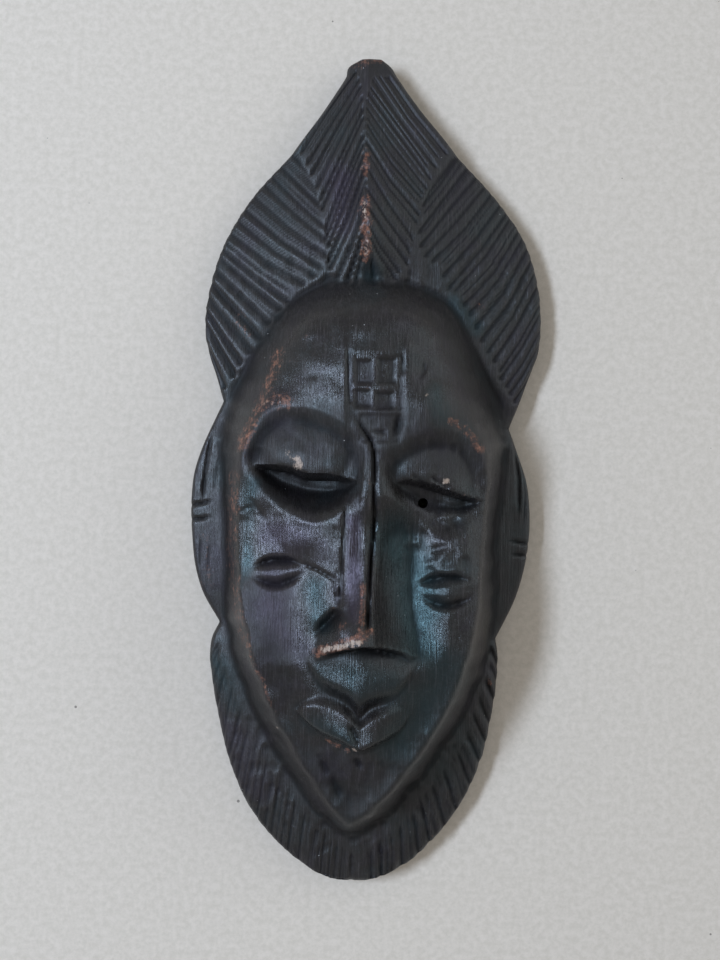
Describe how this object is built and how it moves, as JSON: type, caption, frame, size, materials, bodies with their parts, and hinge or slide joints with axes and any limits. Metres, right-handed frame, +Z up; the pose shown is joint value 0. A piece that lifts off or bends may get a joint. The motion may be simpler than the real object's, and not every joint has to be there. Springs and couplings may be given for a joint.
{
  "type": "carved wooden face mask",
  "caption": "Long carved wooden face mask with a pointed comb of grooved hair, flat ears and a short fringe beard, hollow behind.",
  "frame": {"origin": "centre of the flat back, on the surface that the mask lies on", "axes": "+Y along the mask to the tip of the comb, +Z up out of the face, +X to the right of a viewer facing it"},
  "size_m": [0.1015, 0.24, 0.0477],
  "materials": {
    "wood": "satin"
  },
  "bodies": {
    "root": {"mask": "wood"}
  },
  "joints": []
}
